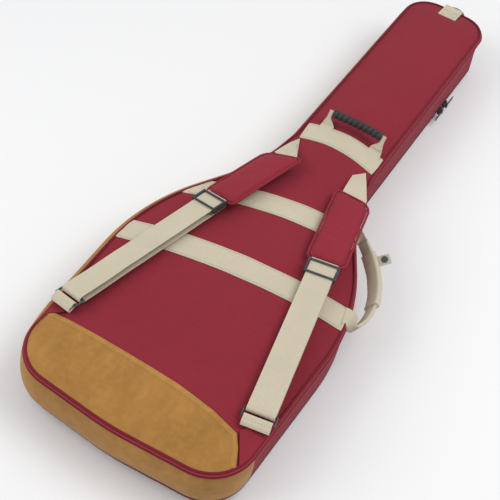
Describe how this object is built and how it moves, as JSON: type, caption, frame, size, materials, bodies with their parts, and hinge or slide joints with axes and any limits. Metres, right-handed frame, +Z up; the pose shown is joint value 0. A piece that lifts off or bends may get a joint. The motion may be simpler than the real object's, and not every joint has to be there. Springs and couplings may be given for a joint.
{
  "type": "padded gig bag",
  "caption": "Soft padded bag for an electric guitar, with two shoulder straps, webbing bands and handles on its back, and a suede-covered bottom.",
  "frame": {"origin": "on the floor under the middle of the lower body, in the plane of the front pocket's outer face", "axes": "+Y from the bottom end to the head end, +X to the side-handle side, +Z up from the floor, out of the back panel"},
  "size_m": [0.3791, 1.088, 0.1313],
  "materials": {
    "wine_fabric": "woven nylon, matt",
    "suede": "suede, napped",
    "webbing": "herringbone cotton webbing",
    "lining": "brushed lining",
    "foam": "closed-cell foam",
    "zip_tape": "knitted zip tape with coil",
    "dark_metal": "satin gunmetal",
    "plastic": "satin acetal",
    "grip_rubber": "matt moulded rubber"
  },
  "bodies": {
    "front_half": {"front_panel": "wine_fabric", "front_foam": "foam", "front_lining": "lining", "front_piping": "wine_fabric", "front_rim": "wine_fabric", "zip_lower": "zip_tape", "hinge_strip": "suede", "front_pocket": "wine_fabric", "pocket_zip": "zip_tape", "neck_pocket": "wine_fabric", "neck_pocket_zip": "zip_tape", "neck_rest": "lining"},
    "back_half": {"back_panel": "wine_fabric", "back_foam": "foam", "back_lining": "lining", "back_piping": "wine_fabric", "gusset_bottom": "suede", "gusset_left_body": "suede", "gusset_left_neck": "suede", "gusset_head": "wine_fabric", "gusset_right_neck": "wine_fabric", "gusset_right_body": "wine_fabric", "zip_upper": "zip_tape", "suede_patch": "suede", "lower_band": "webbing", "upper_band": "webbing", "neck_band": "webbing", "anchor_tab_left": "wine_fabric", "anchor_tab_right": "wine_fabric", "ring_loop_left": "webbing", "ring_loop_right": "webbing", "shoulder_pad_left": "wine_fabric", "shoulder_pad_right": "wine_fabric", "top_strap_left": "webbing", "top_strap_right": "webbing", "lower_strap_left": "webbing", "lower_strap_right": "webbing", "head_tab": "webbing"},
    "top_handle": {"top_handle_webbing": "webbing", "top_handle_grip": "grip_rubber"},
    "side_handle": {"side_loop": "webbing", "side_handle_wrap": "webbing"},
    "snap_flap": {"snap_flap": "webbing", "snap_cap": "dark_metal"},
    "head_ring": {"head_ring": "plastic"},
    "ring_left": {"ring_left": "dark_metal"},
    "ring_right": {"ring_right": "dark_metal"},
    "triglide_left": {"triglide_left": "dark_metal"},
    "triglide_right": {"triglide_right": "dark_metal"},
    "main_slider_upper": {"main_slider_upper": "dark_metal"},
    "main_slider_lower": {"main_slider_lower": "dark_metal"},
    "main_pull_upper": {"main_pull_upper": "dark_metal"},
    "main_pull_lower": {"main_pull_lower": "dark_metal"},
    "pocket_slider": {"pocket_slider": "dark_metal"},
    "pocket_pull": {"pocket_pull": "dark_metal"},
    "neck_pocket_slider": {"neck_pocket_slider": "dark_metal"},
    "neck_pocket_pull": {"neck_pocket_pull": "dark_metal"}
  },
  "joints": [
    {"name": "bag_open", "type": "hinge", "parent": "front_half", "child": "back_half", "pos_m": [-0.179, 0, 0.0155], "axis": [0, -1, 0], "range_deg": [0, 95]},
    {"name": "top_handle_swing", "type": "hinge", "parent": "back_half", "child": "top_handle", "pos_m": [0.008, 0.414, 0.1005], "axis": [1, 0, 0], "range_deg": [-28, 96]},
    {"name": "side_handle_swing", "type": "hinge", "parent": "back_half", "child": "side_handle", "pos_m": [0.1545, 0.167, 0.086], "axis": [0.3875, -0.9219, 0], "range_deg": [-4, 92]},
    {"name": "snap_flap_fold", "type": "hinge", "parent": "side_handle", "child": "snap_flap", "pos_m": [0.15809, 0.22908, 0.08081], "axis": [0.6922, -0.6755, -0.2539], "range_deg": [-122, 10]},
    {"name": "head_ring_swing", "type": "hinge", "parent": "back_half", "child": "head_ring", "pos_m": [0, 0.834, 0.079], "axis": [1, 0, 0], "range_deg": [-88, 47]},
    {"name": "ring_left_swing", "type": "hinge", "parent": "back_half", "child": "ring_left", "pos_m": [-0.15865, -0.11028, 0.10574], "axis": [0.9268, -0.2553, 0.2754], "range_deg": [-7, 7]},
    {"name": "triglide_left_slide", "type": "slide", "parent": "back_half", "child": "triglide_left", "axis": [-0.2543, -0.9663, -0.04], "range_m": [0, 0.12]},
    {"name": "ring_right_swing", "type": "hinge", "parent": "back_half", "child": "ring_right", "pos_m": [0.15524, -0.12037, 0.10368], "axis": [0.9817, 0.1904, 0], "range_deg": [-7, 7]},
    {"name": "triglide_right_slide", "type": "slide", "parent": "back_half", "child": "triglide_right", "axis": [0.1901, -0.9806, -0.0485], "range_m": [0, 0.12]},
    {"name": "main_slider_upper_slide", "type": "slide", "parent": "front_half", "child": "main_slider_upper", "axis": [0, 1, 0], "range_m": [0, 0.09]},
    {"name": "main_slider_lower_slide", "type": "slide", "parent": "front_half", "child": "main_slider_lower", "axis": [0, 1, 0], "range_m": [-0.2, 0]},
    {"name": "main_pull_upper_swing", "type": "hinge", "parent": "main_slider_upper", "child": "main_pull_upper", "pos_m": [0.0787, 0.675, 0.0155], "axis": [0, 0, -1], "range_deg": [0, 110]},
    {"name": "main_pull_lower_swing", "type": "hinge", "parent": "main_slider_lower", "child": "main_pull_lower", "pos_m": [0.0787, 0.655, 0.0155], "axis": [0, 0, 1], "range_deg": [0, 110]},
    {"name": "pocket_slider_slide", "type": "slide", "parent": "front_half", "child": "pocket_slider", "axis": [0, 1, 0], "range_m": [-0.185, 0]},
    {"name": "pocket_pull_swing", "type": "hinge", "parent": "pocket_slider", "child": "pocket_pull", "pos_m": [0.1603, 0.05, 0.003], "axis": [0, 0, 1], "range_deg": [0, 160]},
    {"name": "neck_pocket_slider_slide", "type": "slide", "parent": "front_half", "child": "neck_pocket_slider", "axis": [0, 1, 0], "range_m": [-0.25, 0]},
    {"name": "neck_pocket_pull_swing", "type": "hinge", "parent": "neck_pocket_slider", "child": "neck_pocket_pull", "pos_m": [0.0623, 0.72, 0.003], "axis": [0, 0, 1], "range_deg": [0, 160]}
  ]
}
